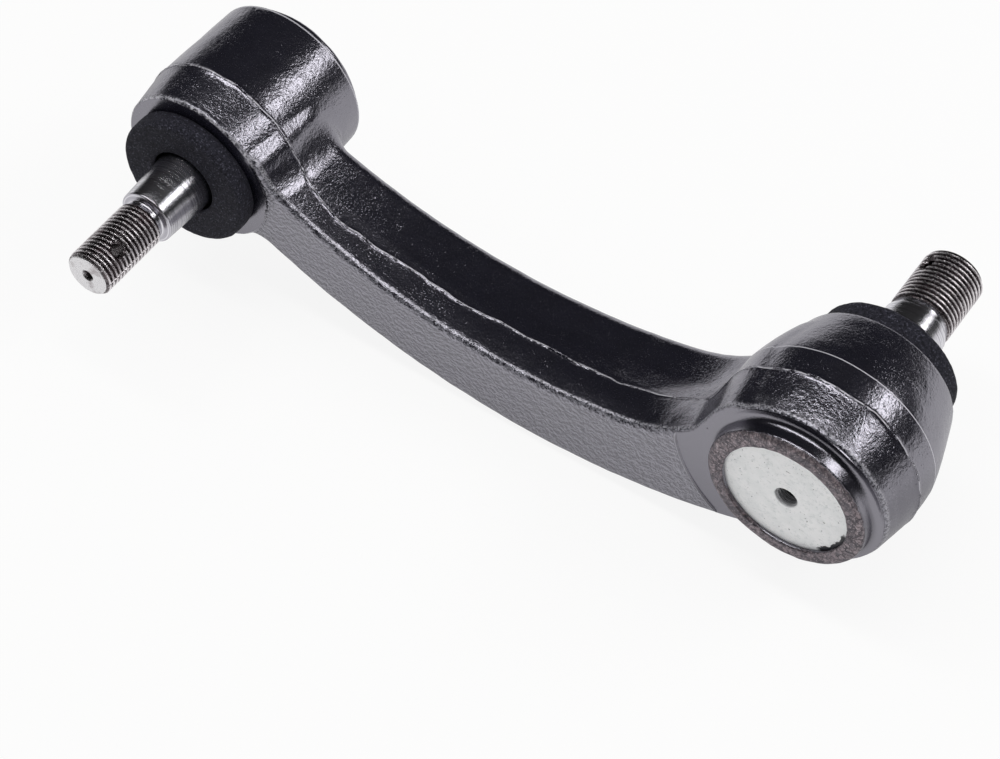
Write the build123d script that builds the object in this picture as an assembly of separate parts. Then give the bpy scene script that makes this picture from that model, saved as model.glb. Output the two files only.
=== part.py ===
"""Steering idler arm: a curved forging with a ball stud socket at each end.

The frame stud points up from one barrel and the link stud points down from the other, on
parallel axes. Each socket holds a ball stud that swivels in a half ball bearing, and the two
tilt together in the barrel, pressed home by a seat and two disc springs under a cover. The
barrel's lip is rolled over the cover, and a foam seal closes the stud's throat.

Frame: origin at the ball centre of the frame socket, +Z along the frame stud towards its
threaded end, +X towards the link socket. All sizes are in millimetres and degrees.
"""

from build123d import *
from dataclasses import dataclass
import math
import os

# Arm forging
ARM_CENTRES = 191.4
ARM_WIDTH = 24.0
ARM_BEND_RADIUS = 179.2
ARM_OFFSET_AT_FRAME = 7.657
ARM_OFFSET_AT_LINK = 7.618
PARTING_Z = -7.75
FRONT_DRAFT = 3.0
BACK_DRAFT = 6.0
ARM_FRONT_AT_FRAME = -21.4
ARM_FRONT_AT_LINK = -20.0
ARM_BACK_AT_FRAME = 19.8
ARM_BACK_AT_LINK = 6.4
ARM_TRIM_STOCK = 5.0
FRONT_EDGE_RADIUS = 2.5
BACK_EDGE_RADIUS = 5.0
FRAME_JUNCTION_RADIUS = 15.0
LINK_JUNCTION_RADIUS = 9.0
FRAME_PAD_RADIUS = 26.3
LINK_PAD_RADIUS = 24.6
SPOTFACE_RADIUS = 35.5

# Frame socket, measured from its ball centre along the stud
FRAME_BARREL_RADIUS = 28.3
FRAME_BARREL_FOOT_RADIUS = 25.9
FRAME_SHOULDER_HEIGHT = 0.2
FRAME_SHOULDER_BULGE = 0.6
FRAME_FACE_RADIUS = 22.7
FRAME_FACE_HEIGHT = 20.1
FRAME_FOOT_DEPTH = 20.7
FRAME_LIP_RADIUS = 22.8
FRAME_LIP_HEIGHT = 5.7
FRAME_BALL_RADIUS = 17.0
FRAME_CHAMBER_RADIUS = 18.2
FRAME_COVER_RADIUS = 19.4
FRAME_COVER_SHOWN_RADIUS = 18.0
FRAME_THROAT_RADIUS = 12.9
FRAME_HEAD_DEPTH = 13.3
FRAME_BEARING_HEIGHT = 10.5
FRAME_SEAT_RIM_DEPTH = 7.5

# Link socket, measured the same way
LINK_BARREL_RADIUS = 25.7
LINK_BARREL_FOOT_RADIUS = 24.7
LINK_FACE_RADIUS = 24.0
LINK_FACE_HEIGHT = 20.6
LINK_FOOT_DEPTH = 21.2
LINK_LIP_RADIUS = 22.0
LINK_LIP_HEIGHT = 3.6
LINK_BALL_RADIUS = 15.6
LINK_CHAMBER_RADIUS = 16.8
LINK_COVER_RADIUS = 18.4
LINK_COVER_SHOWN_RADIUS = 17.0
LINK_THROAT_RADIUS = 12.1
LINK_HEAD_DEPTH = 12.2
LINK_BEARING_HEIGHT = 9.7
LINK_SEAT_RIM_DEPTH = 6.9

# Frame stud
FRAME_STUD_LENGTH = 62.9
FRAME_THREAD_DIAMETER = 18.0
FRAME_THREAD_LENGTH = 19.4
FRAME_TAPER_END_DIAMETER = 18.5
FRAME_JOURNAL_RADIUS = 10.9
FRAME_CROSS_HOLE_SETBACK = 5.6
FRAME_CROSS_HOLE_HEADING = 46.0

# Link stud
LINK_STUD_LENGTH = 70.0
LINK_THREAD_DIAMETER = 14.0
LINK_THREAD_LENGTH = 23.0
LINK_TAPER_END_DIAMETER = 16.4
LINK_JOURNAL_RADIUS = 9.9
LINK_CROSS_HOLE_SETBACK = 8.6
LINK_CROSS_HOLE_HEADING = 50.0
LINK_LEAN = 3.5
LINK_LEAN_HEADING = 121.0

# Shared by both sockets
BARREL_EDGE_CHAMFER = 0.6
LIP_ROOT_RADIUS = 1.4
LIP_CROWN_OFFSET = 1.5
LIP_CROWN_DROP = 0.2
LIP_ROLL_HEIGHT = 2.2
LIP_ROLL_BULGE = 1.2
LIP_ROLL_RISE = 0.7
SEAT_SHOULDER_HEIGHT = 1.0
THROAT_FLARE = 1.0
STUD_TAPER_RATIO = 10.0
THREAD_PITCH = 1.5
THREAD_RELIEF_LENGTH = 2.6
THREAD_RELIEF_CHAMFER = 0.6
THREAD_DEPTH_SHARE = 0.65
STUD_TAPER_SUNK = 2.0
STUD_SHOULDER_CHAMFER = 1.0
STUD_END_CHAMFER = 0.8
CROSS_HOLE_DIAMETER = 3.6
CENTRE_DRILL_DIAMETER = 3.2
CENTRE_DRILL_DEPTH = 1.8
COVER_THICKNESS = 4.0
COVER_RECESS = 1.2
GREASE_HOLE_DIAMETER = 6.0
SPRING_THICKNESS = 1.2
SPRING_CONE = 1.3
SPRING_BORE_RADIUS = 8.0
SEAL_RADIUS = 20.2
SEAL_THICKNESS = 7.9
SEAL_EDGE_RADIUS = 1.6
SEAL_SUNK = 3.0

# Clearances
BALL_GAP = 0.1
JOURNAL_GAP = 0.05
THRUST_GAP = 0.05
SLIDING_GAP = 0.1
SEAL_GAP = 0.3
HEAD_TILT_ROOM = 1.6

# How far a cutting solid or a joining solid reaches past the surface that it works on
OVERCUT = 1.0
CUTTER_REACH = 60.0
ON_OUTLINE = 0.01


@dataclass
class Socket:
    """The sizes of one end, in the socket's own frame: ball centre at 0, stud along +Z."""
    face_height: float
    foot_depth: float
    lip_radius: float
    lip_height: float
    ball_radius: float
    chamber_radius: float
    cover_radius: float
    cover_shown_radius: float
    throat_radius: float
    head_depth: float
    bearing_height: float
    seat_rim_depth: float
    stud_length: float
    thread_radius: float
    thread_length: float
    taper_end_radius: float
    journal_radius: float
    cross_hole_setback: float
    cross_hole_heading: float

    @property
    def lip_depth(self):
        return self.foot_depth + self.lip_height

    @property
    def cover_depth(self):
        """Depth of the cover's outer face."""
        return self.lip_depth - COVER_RECESS

    @property
    def ledge_depth(self):
        """Depth of the ledge that the cover seats on."""
        return self.cover_depth - COVER_THICKNESS

    @property
    def seat_depth(self):
        """Depth of the pressure seat's flat back, on top of the two nested springs."""
        return self.ledge_depth - SPRING_CONE - 2 * SPRING_THICKNESS


def frame_socket():
    return Socket(
        FRAME_FACE_HEIGHT, FRAME_FOOT_DEPTH, FRAME_LIP_RADIUS, FRAME_LIP_HEIGHT,
        FRAME_BALL_RADIUS, FRAME_CHAMBER_RADIUS, FRAME_COVER_RADIUS, FRAME_COVER_SHOWN_RADIUS,
        FRAME_THROAT_RADIUS, FRAME_HEAD_DEPTH, FRAME_BEARING_HEIGHT, FRAME_SEAT_RIM_DEPTH,
        FRAME_STUD_LENGTH, FRAME_THREAD_DIAMETER / 2, FRAME_THREAD_LENGTH,
        FRAME_TAPER_END_DIAMETER / 2, FRAME_JOURNAL_RADIUS,
        FRAME_CROSS_HOLE_SETBACK, FRAME_CROSS_HOLE_HEADING)


def link_socket():
    return Socket(
        LINK_FACE_HEIGHT, LINK_FOOT_DEPTH, LINK_LIP_RADIUS, LINK_LIP_HEIGHT,
        LINK_BALL_RADIUS, LINK_CHAMBER_RADIUS, LINK_COVER_RADIUS, LINK_COVER_SHOWN_RADIUS,
        LINK_THROAT_RADIUS, LINK_HEAD_DEPTH, LINK_BEARING_HEIGHT, LINK_SEAT_RIM_DEPTH,
        LINK_STUD_LENGTH, LINK_THREAD_DIAMETER / 2, LINK_THREAD_LENGTH,
        LINK_TAPER_END_DIAMETER / 2, LINK_JOURNAL_RADIUS,
        LINK_CROSS_HOLE_SETBACK, LINK_CROSS_HOLE_HEADING)


def turned(outline):
    """Revolve a closed outline of lines and arcs, drawn as (radius, height), about Z."""
    return revolve(Plane.XZ * make_face(outline), Axis.Z)


def turned_polygon(*points):
    return turned(Polyline(*points, close=True))


def on_ball(radius, height):
    """The point of a ball's outline at a height."""
    return (math.sqrt(radius ** 2 - height ** 2), height)


def ball_arc(radius, from_height, to_height):
    """The arc of a ball's outline between two heights."""
    middle = (from_height + to_height) / 2
    return ThreePointArc(
        on_ball(radius, from_height), on_ball(radius, middle), on_ball(radius, to_height))


def ring(outer, inner, bottom, top):
    return turned_polygon((inner, bottom), (outer, bottom), (outer, top), (inner, top))


def disc(radius, bottom, top):
    return turned_polygon((0, bottom), (radius, bottom), (radius, top), (0, top))


def at_link(shape):
    """Turn a socket's shape over and move it to the link end of the arm."""
    return Pos(ARM_CENTRES, 0, 0) * Rot(0, 180, 0) * shape


def leaned(shape):
    """Lean a shape at the link end about the link ball's centre, as the stud rests."""
    heading = math.radians(LINK_LEAN_HEADING)
    hinge = Axis((ARM_CENTRES, 0, 0), (math.sin(heading), -math.cos(heading), 0))
    return shape.rotate(hinge, LINK_LEAN)


def arm_surface_z(at_frame, at_link_end, x):
    """Height of one of the arm's two side faces, which slope evenly from end to end."""
    return at_frame + (at_link_end - at_frame) * x / ARM_CENTRES


def arm_bend_centre():
    """Where the bend is drawn from: the mid-line passes each barrel's axis at its offset.

    It passes outside the frame barrel's axis and inside the link barrel's.
    """
    to_frame = ARM_BEND_RADIUS - ARM_OFFSET_AT_FRAME
    to_link = ARM_BEND_RADIUS + ARM_OFFSET_AT_LINK
    x = (to_frame ** 2 - to_link ** 2 + ARM_CENTRES ** 2) / (2 * ARM_CENTRES)
    return Vector(x, math.sqrt(to_frame ** 2 - x ** 2))


def arm_plan():
    """The arm seen along the studs: a bent bar that flares into a round pad at each barrel."""
    inner = ARM_BEND_RADIUS - ARM_WIDTH / 2
    outer = ARM_BEND_RADIUS + ARM_WIDTH / 2
    bend_centre = arm_bend_centre()
    start = math.degrees(math.atan2(-bend_centre.Y, -bend_centre.X))
    end = math.degrees(math.atan2(-bend_centre.Y, ARM_CENTRES - bend_centre.X))
    inside = CenterArc(bend_centre, inner, start, end - start)
    outside = CenterArc(bend_centre, outer, start, end - start)
    plan = make_face([inside, outside, Line(inside @ 0, outside @ 0), Line(inside @ 1, outside @ 1)])
    plan += Circle(FRAME_PAD_RADIUS)
    plan += Pos(ARM_CENTRES, 0) * Circle(LINK_PAD_RADIUS)
    plan = fillet(pad_corners(plan, bend_centre, inner, outer, False), FRAME_JUNCTION_RADIUS)
    return fillet(pad_corners(plan, bend_centre, inner, outer, True), LINK_JUNCTION_RADIUS)


def pad_corners(plan, bend_centre, inner, outer, link_end):
    """The plan's corners where the bar's two edges run into one end's pad."""
    corners = []
    for vertex in plan.vertices():
        reach = (Vector(vertex.X, vertex.Y) - bend_centre).length
        pad_x, pad_radius = (ARM_CENTRES, LINK_PAD_RADIUS) if link_end else (0, FRAME_PAD_RADIUS)
        on_edge = min(abs(reach - inner), abs(reach - outer)) < ON_OUTLINE
        on_pad = abs(math.hypot(vertex.X - pad_x, vertex.Y) - pad_radius) < ON_OUTLINE
        if on_edge and on_pad:
            corners.append(vertex)
    return corners


def arm_blank():
    """The curved arm between the barrels, with draft on both sides of the parting plane.

    A tapered extrusion grows downwards, so the back half is mirrored upwards.
    """
    plan = arm_plan()
    back_reach = ARM_BACK_AT_FRAME - PARTING_Z + ARM_TRIM_STOCK
    front_reach = PARTING_Z - ARM_FRONT_AT_FRAME + ARM_TRIM_STOCK
    blank = extrude(plan, front_reach, taper=FRONT_DRAFT)
    blank += mirror(extrude(plan, back_reach, taper=BACK_DRAFT), Plane.XY)
    blank = Pos(0, 0, PARTING_Z) * blank
    blank -= side_cutter(ARM_BACK_AT_FRAME, ARM_BACK_AT_LINK, 1)
    blank -= side_cutter(ARM_FRONT_AT_FRAME, ARM_FRONT_AT_LINK, -1)
    back = blank.faces().sort_by(Axis.Z)[-1]
    blank = fillet(back.edges(), BACK_EDGE_RADIUS)
    front = blank.faces().sort_by(Axis.Z)[0]
    return fillet(front.edges(), FRONT_EDGE_RADIUS)


def side_cutter(at_frame, at_link_end, side):
    """A block that trims the arm to its sloping side face: side is 1 above, -1 below."""
    left = -CUTTER_REACH
    right = ARM_CENTRES + CUTTER_REACH
    z_left = arm_surface_z(at_frame, at_link_end, left)
    z_right = arm_surface_z(at_frame, at_link_end, right)
    profile = Polyline(
        (left, z_left), (right, z_right), (right, z_right + side * CUTTER_REACH),
        (left, z_left + side * CUTTER_REACH), close=True)
    face = Plane.XZ * make_face(profile)
    return extrude(face, 2 * CUTTER_REACH, both=True)


def frame_barrel():
    """Drafted from its widest line down to the foot, with a convex shoulder up to the face."""
    shoulder = (FRAME_BARREL_RADIUS, FRAME_SHOULDER_HEIGHT)
    face_edge = (FRAME_FACE_RADIUS, FRAME_FACE_HEIGHT)
    shoulder_middle = (
        (FRAME_BARREL_RADIUS + FRAME_FACE_RADIUS) / 2 + FRAME_SHOULDER_BULGE,
        (FRAME_SHOULDER_HEIGHT + FRAME_FACE_HEIGHT) / 2)
    foot = (FRAME_BARREL_FOOT_RADIUS - BARREL_EDGE_CHAMFER, -FRAME_FOOT_DEPTH)
    foot_edge = (FRAME_BARREL_FOOT_RADIUS, -FRAME_FOOT_DEPTH + BARREL_EDGE_CHAMFER)
    widest = (FRAME_BARREL_RADIUS, PARTING_Z)
    return turned([
        Line((0, -FRAME_FOOT_DEPTH), foot),
        Line(foot, foot_edge),
        Line(foot_edge, widest),
        Line(widest, shoulder),
        ThreePointArc(shoulder, shoulder_middle, face_edge),
        Line(face_edge, (0, FRAME_FACE_HEIGHT)),
        Line((0, FRAME_FACE_HEIGHT), (0, -FRAME_FOOT_DEPTH)),
    ])


def link_barrel():
    return turned_polygon(
        (0, -LINK_FOOT_DEPTH), (LINK_BARREL_FOOT_RADIUS - BARREL_EDGE_CHAMFER, -LINK_FOOT_DEPTH),
        (LINK_BARREL_FOOT_RADIUS, -LINK_FOOT_DEPTH + BARREL_EDGE_CHAMFER),
        (LINK_BARREL_RADIUS, -PARTING_Z),
        (LINK_FACE_RADIUS, LINK_FACE_HEIGHT - BARREL_EDGE_CHAMFER),
        (LINK_FACE_RADIUS - BARREL_EDGE_CHAMFER, LINK_FACE_HEIGHT), (0, LINK_FACE_HEIGHT))


def rolled_lip(s):
    """The lip that is rolled over the cover's edge, with a fillet at its root."""
    inside = -s.foot_depth + OVERCUT
    root = s.lip_radius + LIP_ROOT_RADIUS
    root_end = (s.lip_radius, -s.foot_depth - LIP_ROOT_RADIUS)
    roll_start = (s.lip_radius, -s.lip_depth + LIP_ROLL_HEIGHT)
    roll_middle = (s.lip_radius - LIP_ROLL_BULGE, -s.lip_depth + LIP_ROLL_RISE)
    crown = (s.cover_shown_radius + LIP_CROWN_OFFSET, -s.lip_depth)
    mouth = (s.cover_shown_radius, -s.lip_depth + LIP_CROWN_DROP)
    outline = [
        Line((s.cover_radius, inside), (root, inside)),
        Line((root, inside), (root, -s.foot_depth)),
        RadiusArc((root, -s.foot_depth), root_end, -LIP_ROOT_RADIUS),
        Line(root_end, roll_start),
        ThreePointArc(roll_start, roll_middle, crown),
        Line(crown, mouth),
        Line(mouth, (s.cover_shown_radius, -s.cover_depth)),
        Line((s.cover_shown_radius, -s.cover_depth), (s.cover_radius, -s.cover_depth)),
        Line((s.cover_radius, -s.cover_depth), (s.cover_radius, inside)),
    ]
    return turned(outline)


def socket_hollow(s):
    """What is machined out of a barrel: cover bore, chamber, ball seat and flared throat."""
    seat = s.ball_radius + BALL_GAP
    throat_height = math.sqrt(seat ** 2 - s.throat_radius ** 2)
    throat_mouth = s.throat_radius + THROAT_FLARE
    top = s.face_height + OVERCUT
    bottom = -s.lip_depth - OVERCUT
    outline = [
        Line((0, bottom), (s.cover_shown_radius, bottom)),
        Line((s.cover_shown_radius, bottom), (s.cover_shown_radius, -s.cover_depth)),
        Line((s.cover_shown_radius, -s.cover_depth), (s.cover_radius, -s.cover_depth)),
        Line((s.cover_radius, -s.cover_depth), (s.cover_radius, -s.ledge_depth)),
        Line((s.cover_radius, -s.ledge_depth), (s.chamber_radius, -s.ledge_depth)),
        Line((s.chamber_radius, -s.ledge_depth), (s.chamber_radius, SEAT_SHOULDER_HEIGHT)),
        Line((s.chamber_radius, SEAT_SHOULDER_HEIGHT), on_ball(seat, SEAT_SHOULDER_HEIGHT)),
        ball_arc(seat, SEAT_SHOULDER_HEIGHT, throat_height),
        Line((s.throat_radius, throat_height), (throat_mouth, top)),
        Line((throat_mouth, top), (0, top)),
        Line((0, top), (0, bottom)),
    ]
    return turned(outline)


def arm_forging(frame_end, link_end):
    """The one-piece forging: curved arm, both barrels, their machined seats and rolled lips."""
    body = arm_blank() + frame_barrel() + at_link(link_barrel())
    body -= disc(SPOTFACE_RADIUS, -FRAME_FOOT_DEPTH - ARM_TRIM_STOCK, -FRAME_FOOT_DEPTH)
    body -= disc(SPOTFACE_RADIUS, FRAME_FACE_HEIGHT, FRAME_FACE_HEIGHT + ARM_TRIM_STOCK)
    body += rolled_lip(frame_end)
    body += at_link(rolled_lip(link_end))
    body -= socket_hollow(frame_end)
    body -= at_link(socket_hollow(link_end))
    return body


def ball_stud(s):
    """Head, journal, taper, thread relief and threaded end, turned as one piece."""
    tip = s.stud_length
    thread_start = tip - s.thread_length
    relief_start = thread_start - THREAD_RELIEF_LENGTH
    relief_radius = s.thread_radius - THREAD_DEPTH_SHARE * THREAD_PITCH
    taper_start = s.face_height - STUD_TAPER_SUNK
    flat = on_ball(s.ball_radius, -s.head_depth)
    shoulder = (s.journal_radius, taper_start - STUD_SHOULDER_CHAMFER)
    taper_foot = (taper_radius(s, taper_start), taper_start)
    taper_end = (s.taper_end_radius, relief_start)
    relief_low = (relief_radius, relief_start + THREAD_RELIEF_CHAMFER)
    relief_high = (relief_radius, thread_start - THREAD_RELIEF_CHAMFER)
    thread_low = (s.thread_radius, thread_start)
    thread_high = (s.thread_radius, tip - STUD_END_CHAMFER)
    tip_edge = (s.thread_radius - STUD_END_CHAMFER, tip)
    outline = [
        Line((0, -s.head_depth), flat),
        ball_arc(s.ball_radius, -s.head_depth, 0),
        Line((s.ball_radius, 0), (s.journal_radius, 0)),
        Line((s.journal_radius, 0), shoulder),
        Line(shoulder, taper_foot),
        Line(taper_foot, taper_end),
        Line(taper_end, relief_low),
        Line(relief_low, relief_high),
        Line(relief_high, thread_low),
        Line(thread_low, thread_high),
        Line(thread_high, tip_edge),
        Line(tip_edge, (0, tip)),
        Line((0, tip), (0, -s.head_depth)),
    ]
    stud = turned(outline)
    stud -= Pos(0, 0, tip - s.cross_hole_setback) * Rot(0, 0, s.cross_hole_heading) * cross_hole(s)
    stud -= Pos(0, 0, tip) * centre_drill()
    return stud


def taper_radius(s, height):
    """Radius of the stud's taper at a height; its ratio is the change in diameter."""
    relief_start = s.stud_length - s.thread_length - THREAD_RELIEF_LENGTH
    return s.taper_end_radius + (relief_start - height) / STUD_TAPER_RATIO / 2


def cross_hole(s):
    across = 2 * (s.thread_radius + OVERCUT)
    return Rot(0, 90, 0) * Cylinder(CROSS_HOLE_DIAMETER / 2, across)


def centre_drill():
    """The pointed centre hole in the end face, with its own foot at height 0."""
    return turned_polygon((0, 0), (CENTRE_DRILL_DIAMETER / 2, 0), (0, -CENTRE_DRILL_DEPTH))


def half_ball_bearing(s):
    """The upper half of the ball: the stud swivels in its bore and it tilts in the barrel."""
    bore = s.journal_radius + JOURNAL_GAP
    outline = [
        Line((bore, THRUST_GAP), on_ball(s.ball_radius, THRUST_GAP)),
        ball_arc(s.ball_radius, THRUST_GAP, s.bearing_height),
        Line(on_ball(s.ball_radius, s.bearing_height), (bore, s.bearing_height)),
        Line((bore, s.bearing_height), (bore, THRUST_GAP)),
    ]
    return turned(outline)


def pressure_seat(s):
    """The dished seat that the springs press against the stud's head."""
    dish = s.ball_radius + BALL_GAP
    rim_height = -s.seat_rim_depth
    floor = -(s.head_depth + HEAD_TILT_ROOM)
    rim = s.chamber_radius - SLIDING_GAP
    grease_way = GREASE_HOLE_DIAMETER / 2
    outline = [
        Line((grease_way, -s.seat_depth), (rim, -s.seat_depth)),
        Line((rim, -s.seat_depth), (rim, rim_height)),
        Line((rim, rim_height), on_ball(dish, rim_height)),
        ball_arc(dish, rim_height, floor),
        Line(on_ball(dish, floor), (grease_way, floor)),
        Line((grease_way, floor), (grease_way, -s.seat_depth)),
    ]
    return turned(outline)


def disc_spring(s, level):
    """One coned spring washer: level 0 lies on the cover, level 1 is nested on it."""
    outer = s.chamber_radius - 2 * SLIDING_GAP
    low = -s.ledge_depth + level * SPRING_THICKNESS
    return turned_polygon(
        (SPRING_BORE_RADIUS, low + SPRING_CONE), (outer, low),
        (outer, low + SPRING_THICKNESS), (SPRING_BORE_RADIUS, low + SPRING_CONE + SPRING_THICKNESS))


def cover(s):
    """The plate under the rolled lip, with the tapped grease hole in its middle."""
    return ring(s.cover_radius, GREASE_HOLE_DIAMETER / 2, -s.cover_depth, -s.ledge_depth)


def seal_ring(s):
    """The foam ring round the stud, reaching below the barrel's face so it can be trimmed."""
    low = s.face_height - SEAL_SUNK
    top = s.face_height + SEAL_THICKNESS
    bore_low = max(taper_radius(s, low), s.journal_radius) + SEAL_GAP
    bore_top = taper_radius(s, top) + SEAL_GAP
    side_top = (SEAL_RADIUS, top - SEAL_EDGE_RADIUS)
    face_edge = (SEAL_RADIUS - SEAL_EDGE_RADIUS, top)
    outline = [
        Line((bore_low, low), (SEAL_RADIUS, low)),
        Line((SEAL_RADIUS, low), side_top),
        RadiusArc(side_top, face_edge, -SEAL_EDGE_RADIUS),
        Line(face_edge, (bore_top, top)),
        Line((bore_top, top), (bore_low, low)),
    ]
    return turned(outline)


def below_face(s):
    """All that a seal ring could hold below the barrel's face."""
    return disc(SEAL_RADIUS + SEAL_SUNK, s.face_height - 2 * SEAL_SUNK, s.face_height)


def frame_seal(s):
    return seal_ring(s) - below_face(s)


def link_seal(s):
    """The link seal leans with its stud, so it is thicker on one side than on the other."""
    return leaned(at_link(seal_ring(s))) - at_link(below_face(s))


def build():
    """Every node's solid, by name."""
    f = frame_socket()
    k = link_socket()
    return {
        "arm_forging": arm_forging(f, k),
        "frame_stud": ball_stud(f),
        "frame_half_ball_bearing": half_ball_bearing(f),
        "frame_pressure_seat": pressure_seat(f),
        "frame_inner_disc_spring": disc_spring(f, 1),
        "frame_outer_disc_spring": disc_spring(f, 0),
        "frame_cover": cover(f),
        "frame_dust_seal": frame_seal(f),
        "link_stud": leaned(at_link(ball_stud(k))),
        "link_half_ball_bearing": leaned(at_link(half_ball_bearing(k))),
        "link_pressure_seat": at_link(pressure_seat(k)),
        "link_inner_disc_spring": at_link(disc_spring(k, 1)),
        "link_outer_disc_spring": at_link(disc_spring(k, 0)),
        "link_cover": at_link(cover(k)),
        "link_dust_seal": link_seal(k),
    }


os.makedirs("parts", exist_ok=True)
for name, shape in build().items():
    export_step(shape, "parts/" + name + ".step")
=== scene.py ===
"""Looks of the steering idler arm: the rough painted forging, turned studs, seals and covers.

Shapes are worked out in millimetres in the frame of the CAD model, with the frame socket's ball
centre at the origin, and are written to the meshes in metres.
"""

import math
from functools import reduce

import bmesh
import bpy
import numpy as np
from mathutils import Matrix, Vector, noise


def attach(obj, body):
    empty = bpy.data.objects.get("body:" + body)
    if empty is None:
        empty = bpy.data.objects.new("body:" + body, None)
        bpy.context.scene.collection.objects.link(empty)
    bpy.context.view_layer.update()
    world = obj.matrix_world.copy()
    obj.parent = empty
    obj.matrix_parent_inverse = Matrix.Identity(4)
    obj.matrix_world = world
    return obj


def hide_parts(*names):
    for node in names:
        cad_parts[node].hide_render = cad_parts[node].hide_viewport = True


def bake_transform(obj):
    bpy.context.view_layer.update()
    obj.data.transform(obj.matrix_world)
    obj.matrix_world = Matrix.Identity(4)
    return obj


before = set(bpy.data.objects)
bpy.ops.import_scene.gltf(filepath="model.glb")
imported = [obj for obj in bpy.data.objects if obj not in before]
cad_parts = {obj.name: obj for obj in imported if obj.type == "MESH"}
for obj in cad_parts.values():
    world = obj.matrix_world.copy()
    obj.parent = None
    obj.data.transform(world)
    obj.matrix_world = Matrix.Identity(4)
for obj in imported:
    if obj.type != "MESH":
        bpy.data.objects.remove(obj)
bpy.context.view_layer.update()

MM = 0.001

# Camera, solved from the photograph
CAMERA_PLACE = (-157.6, 540.96, -374.8)
CAMERA_RIGHT = (-0.8243573, -0.0066246, 0.5660310)
CAMERA_UP = (0.4457245, 0.6088011, 0.6562704)
CAMERA_BACK = (-0.3489479, 0.7932952, -0.4989169)
CAMERA_LENS = 94.67
CAMERA_SENSOR = 36.0
CAMERA_CLIP = (0.01, 20.0)

# Arm
CENTRES = 191.4
BEND_RADIUS = 179.2
OFFSET_AT_FRAME = 7.657
OFFSET_AT_LINK = 7.618
HALF_WIDTH = 12.0
FRAME_PAD = 26.3
LINK_PAD = 24.6
PARTING = -7.75
BACK_DRAFT = math.radians(6.0)
FRONT_DRAFT = math.radians(3.0)
FRONT_AT_FRAME = -21.4
FRONT_AT_LINK = -20.0
BACK_AT_FRAME = 19.8
BACK_AT_LINK = 6.4
FRONT_EDGE = 2.1
BACK_EDGE = 5.0
FRAME_JUNCTION = 15.0
FRAME_HOLLOW = 34.0
LINK_JUNCTION = 9.0
FRONT_SWELL = 3.2
SWELL_START = 132.0
SWELL_FULL = 46.0
BARREL_BLEND = 6.0
ARC_STEP = 1.2
SPOTFACE = 35.5
FRAME_FOOT = 20.7
FRAME_FACE = 20.1
LINK_FOOT = 21.2
LINK_FACE = 20.6

# Forging mesh
GRID_LOW = (-30.5, -42.5, -24.0)
GRID_HIGH = (218.5, 30.5, 23.0)
GRID_STEP = 0.62
SNAP_REACH = 0.62
SETTLE_ROUNDS = 4
FORGING_TRIANGLES = 125000
FLASH_BAND = 1.5
SPOTFACE_BANDS = (7.0, 4.5, 3.0, 1.8, 1.0, 0.5)
SPOTFACE_TOP = -19.5
SPOTFACE_RAMP = 0.12
FLASH_HEIGHT = 0.28
FLASH_WIDTH = 0.42
FLASH_PATH = (
    (-40, -7.75), (40, -8.2), (60, -9.4), (84, -9.0), (98, -9.5), (110, -10.4), (124, -10.4),
    (136, -11.5), (148, -12.7), (156, -11.4), (163, -9.0), (170, -7.9), (230, -7.75))
DENT_DEPTH = 0.09

# Studs
PITCH = 1.5
THREAD_DEPTH = 0.9
THREAD_STEPS = 8
THREAD_RUN_IN = 0.6
THREAD_END_BEVEL = 0.9
STUD_SEGMENTS = 128
RELIEF_LENGTH = 2.6
TAPER_RUN = 20.0
CROSS_HOLE = 1.8
CROSS_CHAMFER = 1.1
CUTTER_REACH = 2.0
LEAN = math.radians(3.5)
LEAN_HEADING = math.radians(121.0)

# Covers and seals
COVER_THICKNESS = 4.0
COVER_DEPTH = 1.2
GREASE_BORE = 2.7
GREASE_PITCH = 1.0
GREASE_THREAD = 0.55
GREASE_MOUTH = 0.75
SEAL_HEIGHT = 7.9
SEAL_RADIUS = 20.2
SEAL_ROOM = 2.4


def at_frame(points):
    """Points of the frame socket are in the row's frame as they are."""
    return points


def at_link(points):
    """Turn points of the link socket over and move them to the arm's far end."""
    return np.stack([CENTRES - points[:, 0], points[:, 1], -points[:, 2]], 1)


def leaned(points):
    """Lean points at the link end about the link ball's centre, as its stud rests."""
    axis = Vector((math.sin(LEAN_HEADING), -math.cos(LEAN_HEADING), 0.0))
    turn = np.array(Matrix.Rotation(LEAN, 3, axis))
    centre = np.array((CENTRES, 0.0, 0.0))
    return (points - centre) @ turn.T + centre


def at_leaned_link(points):
    return leaned(at_link(points))


def make_object(name, vertices, faces, body):
    """A mesh object from millimetre vertices, smooth shaded, riding on a body if one is given."""
    mesh = bpy.data.meshes.new(name)
    mesh.from_pydata((np.asarray(vertices) * MM).tolist(), [], [tuple(f) for f in faces])
    mesh.validate()
    mesh.update()
    mesh.shade_smooth()
    piece = bpy.data.objects.new(name, mesh)
    bpy.context.scene.collection.objects.link(piece)
    if body:
        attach(piece, body)
    return piece


def sharpen(piece, degrees):
    piece.data.set_sharp_from_angle(angle=math.radians(degrees))


def point_values(piece, name, values):
    attribute = piece.data.attributes.new(name, "FLOAT", "POINT")
    attribute.data.foreach_set("value", np.asarray(values, np.float32))


def mesh_points(piece):
    """The piece's vertices in millimetres."""
    mesh = piece.data
    co = np.zeros(len(mesh.vertices) * 3, np.float32)
    mesh.vertices.foreach_get("co", co)
    return co.reshape(-1, 3).astype(float) / MM


def from_axis(points, centre_x=0.0):
    """Distance of each point from a barrel's axis."""
    return np.hypot(points[:, 0] - centre_x, points[:, 1])


def applied(piece):
    """Bake the piece's modifiers into its mesh."""
    depsgraph = bpy.context.evaluated_depsgraph_get()
    mesh = bpy.data.meshes.new_from_object(piece.evaluated_get(depsgraph))
    piece.modifiers.clear()
    piece.data = mesh


# Turned shapes

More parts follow.
